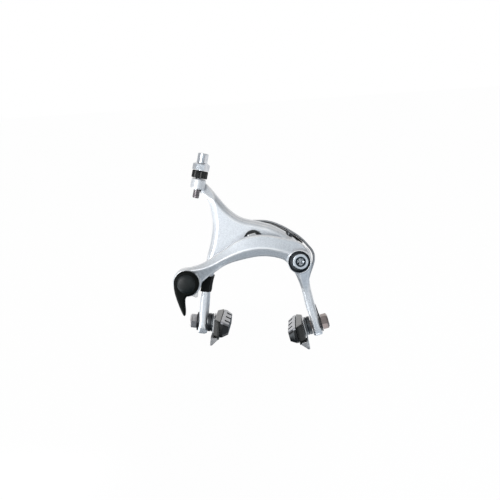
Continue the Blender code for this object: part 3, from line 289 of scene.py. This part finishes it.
def ringed_head(name):
    """The pivot bolt's head: turned rings on its face, with painted shade darkening its rim and its socket's
    walls.
    """
    made, place = begin(name)
    radius = from_axis(place, PIVOT_X, PIVOT_Z)
    cloud = noise(place, 1.6 * MM, 4.0)
    rings = place.math("SINE", radius * (2.0 * math.pi * RINGS_PER_METRE), 0.0)
    # Painted shade: a dark ring round the key socket's mouth and a dark band at the head's rim.
    socket_shade = (radius * (1.0 / SOCKET_SHADE_REACH) + 0.08 * cloud).ramp((0.54, 0.0), (0.62, 1.0), (0.80, 1.0), (0.90, 0.0))
    rim_shade = (radius * PER_MM - HEAD_RIM_MM).ramp((0.0, 0.0), (0.3, 1.0))
    dark = place.math("MAXIMUM", socket_shade, 0.8 * rim_shade)
    shade(place, base_color=dark.colours(HEAD_STEEL, HEAD_SHADE), metallic=1.0,
          roughness=0.16 + 0.14 * cloud + 0.2 * dark, normal=rings.bump(0.10, 0.03 * MM))
    return made


def plated_barrel(name):
    """The adjuster's bright plating, turning darker and browner on the thread below the arm's boss."""
    made, place = begin(name)
    cloud = noise(place, 1.8 * MM, 4.0)
    blotches = cloud.ramp((0.3, 0.0), (0.7, 1.0))
    # the thread below this height is darker and browner
    low = (part_of(place, "Z") * PER_MM - BROWN_TOP_MM).ramp((0.0, 1.0), (0.4, 0.0))
    tone = low.colours(blotches.colours(PLATING_DARK, PLATING_PALE),
                       blotches.colours(BROWN_DARK, BROWN_PALE))
    shade(place, base_color=tone, metallic=1.0, roughness=0.08 + 0.12 * cloud + 0.16 * low,
          normal=cloud.bump(0.05, SHALLOW))
    return made


def moulded_black(name, colour=(0.006, 0.0065, 0.007), roughness=0.24, shine=0.5):
    """Moulded black plastic with a fine spark-worn skin and a few paler rubs."""
    made, place = begin(name)
    skin = noise(place, SKIN_GRAIN, 2.0)
    rub = noise(stretched(place, 1.0, 1.0, 0.25), 4.0 * MM, 5.0, 0.65)
    marks = rub.ramp((0.50, 0.0), (0.72, 1.0))
    tone = marks.colours((*colour, 1.0), (*[2.1 * c for c in colour], 1.0))
    shade(place, base_color=tone, roughness=roughness + 0.12 * skin + 0.08 * marks,
          normal=skin.bump(0.22, 0.06 * MM), specular_ior_level=shine)
    return made


def brake_rubber(name, colour=(0.004, 0.0045, 0.005)):
    """Smooth black rubber, pitted by grit, with a pale mottled painted sheen on its upper sides, standing for
    the light that falls on them.
    """
    made, place = begin(name)
    cloud = noise(place, 3.0 * MM, 5.0, 0.6)
    pits = noise(place, PIT, 3.0)
    # Painted sheen: faces that look up are painted paler and made a little rougher.
    top = measured(place, "top").ramp((0.35, 0.0), (0.55, 1.0))
    top_sheen = top * cloud.ramp((0.25, 0.7), (0.7, 1.0))
    shade(place, base_color=top_sheen.colours((*colour, 1.0), PAINTED_TOP_SHEEN),
          roughness=0.18 + 0.10 * pits + 0.06 * top_sheen, normal=pits.bump(0.12, SHALLOW))
    return made


SILVER = satin_silver("satin_silver")
PIVOT_HEAD = ringed_head("pivot_head")
GUIDE_STEEL = bright_steel("guide_steel", (0.58, 0.575, 0.58), 0.24)
WASHER_STEEL = bright_steel("dull_steel", (0.16, 0.17, 0.18), 0.30)
STEEL = bright_steel("plated_steel", (0.80, 0.80, 0.80), 0.16)
BARREL = plated_barrel("plated_barrel")
DARK_STEEL = bright_steel("blackened_steel", (0.10, 0.105, 0.11), 0.28)
NUT_STEEL = bright_steel("worn_zinc", (0.78, 0.74, 0.73), 0.34)
# a darker brown steel for the right nut and its stud
WARM_STEEL = bright_steel("dark_brown_steel", (0.28, 0.23, 0.215), 0.16)
SPRING_STEEL = bright_steel("drawn_wire", (0.50, 0.51, 0.53), 0.26)
BRONZE = bright_steel("bronze", (0.60, 0.42, 0.20), 0.30)
PLASTIC = moulded_black("moulded_black")
HOLDER_PLASTIC = moulded_black("holder_black", (0.0025, 0.0035, 0.003), 0.18, 0.34)
MATT_PLASTIC = moulded_black("matt_black", (0.003, 0.0035, 0.003), 0.42, 0.12)
LEVER_PLASTIC = moulded_black("lever_black", (0.0016, 0.0026, 0.002), 0.34, 0.10)
CAP_PLASTIC = moulded_black("cap_black", (0.003, 0.0055, 0.0055), 0.30, 0.34)
RUBBER = brake_rubber("brake_rubber")


# Shaping

DOUBLE = 0.01 * MM
SPUN_DOUBLE = 0.002 * MM
FLAT = math.radians(0.5)
SHARP = math.radians(30.0)
MACHINED_SMOOTH = math.radians(35.0)
WOUND_SMOOTH = math.radians(40.0)
ROUND_STEPS = 72
EDGE_STEP = 0.05 * MM


def alone(obj):
    """Makes one object the only selected and the active one."""
    bpy.ops.object.select_all(action="DESELECT")
    obj.select_set(True)
    bpy.context.view_layer.objects.active = obj


def merged_copy(node, name):
    """A copy of a solid's mesh with its loose triangles joined up."""
    made = bpy.data.objects.new(name, NODES[node].data.copy())
    bpy.context.scene.collection.objects.link(made)
    alone(made)
    bpy.ops.object.mode_set(mode="EDIT")
    bpy.ops.mesh.select_all(action="SELECT")
    bpy.ops.mesh.remove_doubles(threshold=DOUBLE)
    bpy.ops.mesh.dissolve_limited(angle_limit=FLAT)
    bpy.ops.object.mode_set(mode="OBJECT")
    return made


def applied(obj, kind, **settings):
    """Adds a modifier with these settings and applies it."""
    alone(obj)
    added = obj.modifiers.new(kind.lower(), kind)
    for name, value in settings.items():
        setattr(added, name, value)
    bpy.ops.object.modifier_apply(modifier=added.name)


def dress(obj, node, finish):
    """Gives a piece its finish, hides the solid that it stands for and lets it ride on that solid's body."""
    obj.data.materials.clear()
    obj.data.materials.append(finish)
    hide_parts(node)
    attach(obj, BODY_OF[node])


def measure_edges(obj):
    """Stores how far each point stands out from its neighbours: 0.5 flat, more on edges, less in hollows."""
    mesh = obj.data
    count = len(mesh.vertices)
    around = [Vector() for _ in range(count)]
    shared = [0] * count
    for edge in mesh.edges:
        a, b = edge.vertices
        around[a] += mesh.vertices[b].co
        around[b] += mesh.vertices[a].co
        shared[a] += 1
        shared[b] += 1
    out = [0.5] * count
    for point in mesh.vertices:
        i = point.index
        if shared[i]:
            step = point.co - around[i] / shared[i]
            out[i] = min(1.0, max(0.0, 0.5 + step.dot(point.normal) / EDGE_STEP))
    mesh.attributes.new("edge", "FLOAT", "POINT").data.foreach_set("value", out)


def softened(made, face_size, passes):
    """Remakes a forging or a moulding in small even faces, with its edges rounded off."""
    applied(made, "REMESH", mode="VOXEL", voxel_size=face_size, use_smooth_shade=True)
    applied(made, "SMOOTH", factor=0.5, iterations=passes)
    return made


def broken_edges(made, width, segments=2):
    """Breaks the sharp edges of a machined or moulded piece."""
    applied(made, "BEVEL", width=width, segments=segments, limit_method="ANGLE",
            angle_limit=SHARP, harden_normals=False, use_clamp_overlap=True)
    alone(made)
    bpy.ops.object.shade_smooth_by_angle(angle=MACHINED_SMOOTH)
    applied(made, "WEIGHTED_NORMAL", keep_sharp=True)
    return made


def pick_faces(obj, wanted):
    """Selects the faces that the test accepts and opens the piece for editing."""
    alone(obj)
    bpy.context.tool_settings.mesh_select_mode = (False, False, True)
    bpy.ops.object.mode_set(mode="EDIT")
    bpy.ops.mesh.select_all(action="DESELECT")
    bpy.ops.object.mode_set(mode="OBJECT")
    for face in obj.data.polygons:
        face.select = wanted(face)
    bpy.ops.object.mode_set(mode="EDIT")


def pushed(obj, wanted, move):
    """Moves some faces of a piece, and the walls beside them follow."""
    pick_faces(obj, wanted)
    bpy.ops.transform.translate(value=move)
    bpy.ops.object.mode_set(mode="OBJECT")


def measure_tops(obj):
    """Stores how far up each face looks: 0 for a wall or an underside, 1 for level."""
    looks = [max(0.0, face.normal.z) for face in obj.data.polygons]
    obj.data.attributes.new("top", "FLOAT", "FACE").data.foreach_set("value", looks)


# Forged arms

for node in ("c_arm", "y_arm"):
    arm = softened(merged_copy(node, node + "_forging"), 0.36 * MM, 14)
    measure_edges(arm)
    dress(arm, node, SILVER)


# Moulded lever with its domed cap

def turned(name, profile, x, z):
    """A round piece about a line along Y: a half outline of radius and Y, spun right round."""
    mesh = bpy.data.meshes.new(name)
    points = [(x + radius, y, z) for radius, y in profile]
    mesh.from_pydata(points, [(i, i + 1) for i in range(len(points) - 1)], [])
    made = bpy.data.objects.new(name, mesh)
    bpy.context.scene.collection.objects.link(made)
    alone(made)
    bpy.ops.object.mode_set(mode="EDIT")
    bpy.ops.mesh.select_all(action="SELECT")
    bpy.ops.mesh.spin(steps=ROUND_STEPS, angle=2.0 * math.pi, center=(x, 0.0, z), axis=(0.0, 1.0, 0.0))
    bpy.ops.mesh.select_all(action="SELECT")
    bpy.ops.mesh.remove_doubles(threshold=SPUN_DOUBLE)
    bpy.ops.mesh.normals_make_consistent(inside=False)
    bpy.ops.object.mode_set(mode="OBJECT")
    bpy.ops.object.shade_smooth_by_angle(angle=SHARP)
    return made


lever = softened(merged_copy("release_lever", "release_lever_moulding"), 0.25 * MM, 24)
dress(lever, "release_lever", LEVER_PLASTIC)

cap_low, cap_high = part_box("release_cap")
cap_r = 0.5 * (cap_high.x - cap_low.x)
cap_front = cap_low.y
DOME = ((0.86, 0.46), (0.70, 0.26), (0.50, 0.12), (0.25, 0.03), (0.0, 0.0))
cap = turned("release_cap_domed", [
    (0.0, cap_high.y), (cap_r - 0.15 * MM, cap_high.y), (cap_r, cap_high.y - 0.15 * MM),
    (cap_r, cap_front + 0.95 * MM), (cap_r - 0.12 * MM, cap_front + 0.80 * MM),
    (cap_r - 0.4 * MM, cap_front + 0.70 * MM),
] + [(share * cap_r, cap_front + drop * MM) for share, drop in DOME], *middle_of("release_cap"))
dress(cap, "release_cap", CAP_PLASTIC)


# Bolts with a key socket that a drill has started

SOCKET_REACH = 0.5 * MM
POINT_REACH = 0.05 * MM


def drilled(node, looks, depth):
    """A bolt whose key socket's floor, which looks one way along Y, is sunk to a drill point."""
    made = merged_copy(node, node + "_finished")
    x, z = middle_of(node)

    def on_floor(face):
        near = math.hypot(face.center.x - x, face.center.z - z) < SOCKET_REACH
        return near and face.normal.y * looks > 0.9

    pick_faces(made, on_floor)
    bpy.ops.mesh.poke()
    bpy.ops.mesh.select_all(action="DESELECT")
    bpy.ops.object.mode_set(mode="OBJECT")
    middles = [v for v in made.data.vertices if math.hypot(v.co.x - x, v.co.z - z) < POINT_REACH]
    point = max(middles, key=lambda v: v.co.y * looks)
    bpy.context.tool_settings.mesh_select_mode = (True, False, False)
    point.select = True
    bpy.ops.object.mode_set(mode="EDIT")
    bpy.ops.transform.translate(value=(0.0, -looks * depth, 0.0))
    bpy.ops.object.mode_set(mode="OBJECT")
    return made


side_bolt = broken_edges(drilled("side_pivot_bolt", -1.0, 1.3 * MM), 0.2 * MM)
dress(side_bolt, "side_pivot_bolt", PIVOT_HEAD)
clamp_bolt = broken_edges(drilled("cable_clamp_bolt", 1.0, 0.8 * MM), 0.15 * MM)
dress(clamp_bolt, "cable_clamp_bolt", STEEL)


# Brake shoes: soft-edged holders, and pads whose cuts stand open

CUT_SPREAD = 1.2 * MM
PAD_END = 3.0 * MM
BELLY = 1.2 * MM


def cut_wall(pad_box, looks):
    """A test for the walls of a pad's cuts that look one way along Y, away from the pad's ends."""
    low, high = pad_box

    def test(face):
        return face.normal.y * looks > 0.8 and low.y + PAD_END < face.center.y < high.y - PAD_END
    return test


for side in ("left", "right"):
    holder = merged_copy(side + "_holder", side + "_holder_moulding")
    pushed(holder, lambda face: face.normal.z < -0.6, (0.0, 0.0, -BELLY))
    dress(softened(holder, 0.3 * MM, 10), side + "_holder", HOLDER_PLASTIC)
    pad = merged_copy(side + "_pad", side + "_pad_finished")
    for looks in (1.0, -1.0):
        pushed(pad, cut_wall(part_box(side + "_pad"), looks), (0.0, -looks * CUT_SPREAD, 0.0))
    broken_edges(pad, 0.15 * MM)
    measure_tops(pad)
    dress(pad, side + "_pad", RUBBER)

for node, finish, slot in (("left_nut", NUT_STEEL, "bright_steel"), ("right_nut", WARM_STEEL, "warm_steel")):
    dress(broken_edges(merged_copy(node, node + "_finished"), 0.6 * MM, 4), node, finish)


# Return spring: one bow of wire in two halves, which push the arms

# X and Z along the bow in millimetres, from the left arm's sleeve over the middle to the right arm's slider
BOW = [
    (-32.6, -30.0), (-30.4, -22.0), (-27.6, -13.0), (-23.4, -4.2), (-17.4, 3.2), (-9.4, 8.6),
    (0.0, 10.2), (9.4, 9.2), (16.9, 6.2), (23.6, 2.0), (28.8, -2.0), (33.2, -6.9),
    (36.6, -12.2), (36.9, -16.4), (35.6, -20.8), (33.6, -25.8), (32.2, -31.0), (32.2, -37.0),
    (33.4, -43.2), (35.2, -48.8), (36.2, -53.0),
]
BOW_DEPTH = -6.2
BOW_MIDDLE = 6
WIRE_RADIUS = 0.75 * MM


def wire_half(name, points):
    """Half of the bow as a round wire, from the bracket at its middle to an arm at its end."""
    line = bpy.data.curves.new(name, "CURVE")
    line.dimensions = "3D"
    line.bevel_depth = WIRE_RADIUS
    line.bevel_resolution = 4
    line.resolution_u = 10
    line.use_fill_caps = True
    route = line.splines.new("BEZIER")
    route.bezier_points.add(len(points) - 1)
    for knot, (x, z) in zip(route.bezier_points, points):
        knot.co = (x * MM, BOW_DEPTH * MM, z * MM)
        knot.handle_left_type = "AUTO"
        knot.handle_right_type = "AUTO"
    made = bpy.data.objects.new(name, line)
    bpy.context.scene.collection.objects.link(made)
    alone(made)
    bpy.ops.object.convert(target="MESH")
    bpy.ops.object.shade_smooth_by_angle(angle=WOUND_SMOOTH)
    made.data.materials.clear()
    made.data.materials.append(SPRING_STEEL)
    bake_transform(made)
    return made


left_half = wire_half("return_spring_left", BOW[BOW_MIDDLE::-1])
right_half = wire_half("return_spring_right", BOW[BOW_MIDDLE:])
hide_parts("return_spring")


# Small pieces: the finish, the slot, and the width in millimetres to which the edges are broken

FINISHES = {
    "adjuster_barrel": (BARREL, "bright_steel", 0.25),
    "adjuster_ring": (HOLDER_PLASTIC, "black_plastic", 0.15),
    "left_leg_sleeve": (MATT_PLASTIC, "black_plastic", 0.2),
    "spring_seat": (MATT_PLASTIC, "black_plastic", 0.2),
    "side_pivot_washer": (DARK_STEEL, "dark_steel", 0.1),
    "center_pivot_nut": (STEEL, "bright_steel", 0.15),
    "center_seal_ring": (PLASTIC, "black_plastic", 0.15),
    "centering_screw": (DARK_STEEL, "dark_steel", 0.1),
    "left_stud": (STEEL, "bright_steel", 0.1),
    "right_stud": (WARM_STEEL, "warm_steel", 0.1),
    "left_wheel_guide": (GUIDE_STEEL, "bright_steel", 0.12),
    "right_wheel_guide": (GUIDE_STEEL, "bright_steel", 0.12),
    "left_dished_washer": (DARK_STEEL, "dark_steel", 0.12),
    "right_dished_washer": (DARK_STEEL, "dark_steel", 0.12),
    "left_domed_washer": (WASHER_STEEL, "dark_steel", 0.12),
    "right_domed_washer": (WASHER_STEEL, "dark_steel", 0.12),
    "mounting_bracket": (SILVER, "forged_aluminium", 0.4),
    "fork_spacer": (DARK_STEEL, "dark_steel", 0.15),
    "sleeve_nut": (STEEL, "bright_steel", 0.15),
    "center_bolt": (STEEL, "bright_steel", 0.12),
    "cable_clamp_washer": (STEEL, "bright_steel", 0.15),
}
for node, (finish, slot, width) in FINISHES.items():
    made = merged_copy(node, node + "_finished")
    dress(broken_edges(made, width * MM), node, finish)

# Solids that stay as they are

STAYING = {
    "center_thrust_washer": BRONZE,
    "side_thrust_washer": BRONZE,
    "release_spindle": STEEL,
    "right_spring_slider": PLASTIC,
    "left_outer_washer": PLASTIC,
    "right_outer_washer": PLASTIC,
}
for node, finish in STAYING.items():
    NODES[node].data.materials.clear()
    NODES[node].data.materials.append(finish)


# Screw threads

THREAD_PITCH = 1.0 * MM
THREAD_ROOT = 0.10 * MM
THREAD_CREST = 0.15 * MM
THREAD_HALF = 0.42 * THREAD_PITCH
THREAD_TURNS = 13
THREAD_STEPS = 28


def thread(name, foot, along, radius, body, finish):
    """The raised thread on a round shank: a three-cornered ridge, wound up from the foot."""
    mesh = bpy.data.meshes.new(name)
    root, crest = radius - THREAD_ROOT, radius + THREAD_CREST
    mesh.from_pydata([(root, 0.0, -THREAD_HALF), (crest, 0.0, 0.0), (root, 0.0, THREAD_HALF)],
                     [(0, 1), (1, 2), (2, 0)], [])
    made = bpy.data.objects.new(name, mesh)
    bpy.context.scene.collection.objects.link(made)
    applied(made, "SCREW", axis="Z", angle=2.0 * math.pi, screw_offset=THREAD_PITCH, iterations=THREAD_TURNS,
            steps=THREAD_STEPS, render_steps=THREAD_STEPS, use_smooth_shade=False)
    bpy.ops.object.mode_set(mode="EDIT")
    bpy.ops.mesh.select_all(action="SELECT")
    bpy.ops.mesh.remove_doubles(threshold=SPUN_DOUBLE)
    bpy.ops.mesh.fill_holes(sides=3)
    bpy.ops.mesh.normals_make_consistent(inside=False)
    bpy.ops.object.mode_set(mode="OBJECT")
    bpy.ops.object.shade_smooth_by_angle(angle=WOUND_SMOOTH)
    made.data.transform(Matrix.Translation(foot) @ along.to_track_quat("Z", "Y").to_matrix().to_4x4())
    made.data.materials.append(finish)
    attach(made, body)


JOINT_AXES = {joint["name"]: joint["axis"] for joint in frame["record"]["behaviour"]["joints"]}
BARREL_RISE = Vector(JOINT_AXES["adjuster_barrel_rise"])
BARREL_FOOT = Vector((-34.35, -16.0, 27.77)) * MM
BARREL_SHANK_R = 2.0 * MM
BOLT_BACK = Vector((0.0, 1.0, 0.0))
BOLT_SHANK_R = 3.0 * MM
thread("adjuster_thread", BARREL_FOOT + 1.1 * MM * BARREL_RISE, BARREL_RISE, BARREL_SHANK_R,
       "adjuster_barrel", BARREL)
thread("center_bolt_thread", 7.0 * MM * BOLT_BACK, BOLT_BACK, BOLT_SHANK_R, "bracket", STEEL)


# Stage: a white floor under a tent of pale cloth that the camera doesn't see

def ray_kinds(tree):
    """1 for what the camera, a mirror or glass sees, and 0 for light on a surface."""
    start = Value(tree)
    camera_ray = start.node("ShaderNodeLightPath", None, None, "Is Camera Ray")
    glossy_ray = start.node("ShaderNodeLightPath", None, None, "Is Glossy Ray")
    through_ray = start.node("ShaderNodeLightPath", None, None, "Is Transmission Ray")
    return camera_ray.math("MINIMUM", camera_ray + glossy_ray + through_ray, 1.0)


def plain_sheet(name, place, turn, size):
    """A flat stage sheet of the given width and depth, turned about X, Y and Z in degrees."""
    alone(camera)
    bpy.ops.mesh.primitive_plane_add(size=1.0, location=place, rotation=[math.radians(a) for a in turn])
    made = bpy.context.object
    made.name = name
    made.scale = (*size, 1.0)
    return made


def tent_cloth(name, place, turn, size, glow, tint):
    """A sheet of the tent, with the light that comes through it."""
    made = plain_sheet(name, place, turn, size)
    made.visible_camera = False
    made.visible_shadow = False
    cloth = bpy.data.materials.new(name)
    cloth.use_nodes = True
    cloth.node_tree.nodes.clear()
    start = Value(cloth.node_tree)
    light = start.node("ShaderNodeEmission", None, {"Color": (*tint, 1.0), "Strength": glow})
    start.node("ShaderNodeOutputMaterial", None, {"Surface": light})
    made.data.materials.append(cloth)


FLOOR_DROP = 0.09
FLOOR_SIZE = 60.0
FLOOR_GLOW = 0.985
AIR_LIGHT = 0.4
FLAT_DOWN = (0.0, 0.0, 0.0)
floor = plain_sheet("floor", (0.0, 0.0, cad_box[0].z - FLOOR_DROP), FLAT_DOWN, (FLOOR_SIZE, FLOOR_SIZE))
white = bpy.data.materials.new("white_floor")
white.use_nodes = True
white.node_tree.nodes.clear()
seen = ray_kinds(white.node_tree)
lit = seen.node("ShaderNodeBsdfDiffuse", None, {"Color": (0.9, 0.9, 0.9, 1.0)})
glow = seen.node("ShaderNodeEmission", None, {"Color": (1.0, 1.0, 1.0, 1.0), "Strength": 1.0})
both = seen.node("ShaderNodeMixShader", None, {0: seen * FLOOR_GLOW, 1: lit, 2: glow})
seen.node("ShaderNodeOutputMaterial", None, {"Surface": both})
floor.data.materials.append(white)

world = bpy.data.worlds.new("studio")
bpy.context.scene.world = world
world.use_nodes = True
world.node_tree.nodes.clear()
seen = ray_kinds(world.node_tree)
air = seen.node("ShaderNodeBackground", None, {
    "Color": (1.0, 1.0, 1.0, 1.0), "Strength": AIR_LIGHT + seen * (1.0 - AIR_LIGHT)})
seen.node("ShaderNodeOutputWorld", None, {"Surface": air})

# Each sheet's place, turn in degrees, size, glow and tint: the walls, two dark flags and four low cards
CARD_HEIGHT = cad_box[0].z - 0.06
BRIGHT_CARD_HEIGHT = CARD_HEIGHT + 0.002
OVER, FROM_FRONT = (180.0, 0.0, 0.0), (-90.0, 0.0, 0.0)
FROM_LEFT, FROM_RIGHT = (0.0, 90.0, 0.0), (0.0, -90.0, 0.0)
TENT = {
    "tent_top": ((0.0, 0.0, 1.3), OVER, (3.0, 3.0), 0.62, (1.0, 0.99, 0.975)),
    "tent_front": ((-0.3, -1.5, 0.55), FROM_FRONT, (2.4, 1.5), 0.78, (0.88, 0.95, 1.0)),
    "tent_left": ((-1.5, 0.0, 0.55), FROM_LEFT, (1.5, 3.0), 0.66, (0.95, 0.975, 1.0)),
    "tent_right": ((1.5, 0.6, 0.55), FROM_RIGHT, (1.5, 1.8), 0.50, (0.92, 0.96, 1.0)),
    "flag_front": ((1.2, -1.5, 0.55), FROM_FRONT, (0.6, 1.5), 0.12, (0.80, 0.90, 1.0)),
    "flag_right": ((1.5, -0.9, 0.55), FROM_RIGHT, (1.5, 1.2), 0.12, (0.80, 0.90, 1.0)),
    "dark_card": ((-0.045, 0.10, CARD_HEIGHT), FLAT_DOWN, (0.15, 1.10), 0.13, (0.70, 0.85, 1.0)),
    "grey_card": ((0.24, 0.10, CARD_HEIGHT), FLAT_DOWN, (0.42, 1.10), 0.62, (0.80, 0.90, 1.0)),
    "bright_card": ((0.040, -0.012, BRIGHT_CARD_HEIGHT), FLAT_DOWN, (0.036, 0.060), 1.8, (0.92, 0.96, 1.0)),
    "low_panel": ((-0.23, -0.12, CARD_HEIGHT), FLAT_DOWN, (0.20, 0.36), 3.5, (0.86, 0.94, 1.0)),
}
for name, row in TENT.items():
    tent_cloth(name, *row)


def softbox(name, place, target, size, watts):
    """A square lamp that looks at the target."""
    made = bpy.data.objects.new(name, bpy.data.lights.new(name, "AREA"))
    made.data.shape = "RECTANGLE"
    made.data.size, made.data.size_y = size, size
    made.data.energy = watts
    bpy.context.scene.collection.objects.link(made)
    made.location = place
    made.rotation_mode = "QUATERNION"
    made.rotation_quaternion = (Vector(target) - Vector(place)).to_track_quat("-Z", "Y")


softbox("key", (-0.7, -1.25, 0.10), (0.0, 0.0, -0.01), 0.6, 7.5)

bpy.context.scene.view_settings.view_transform = "Standard"
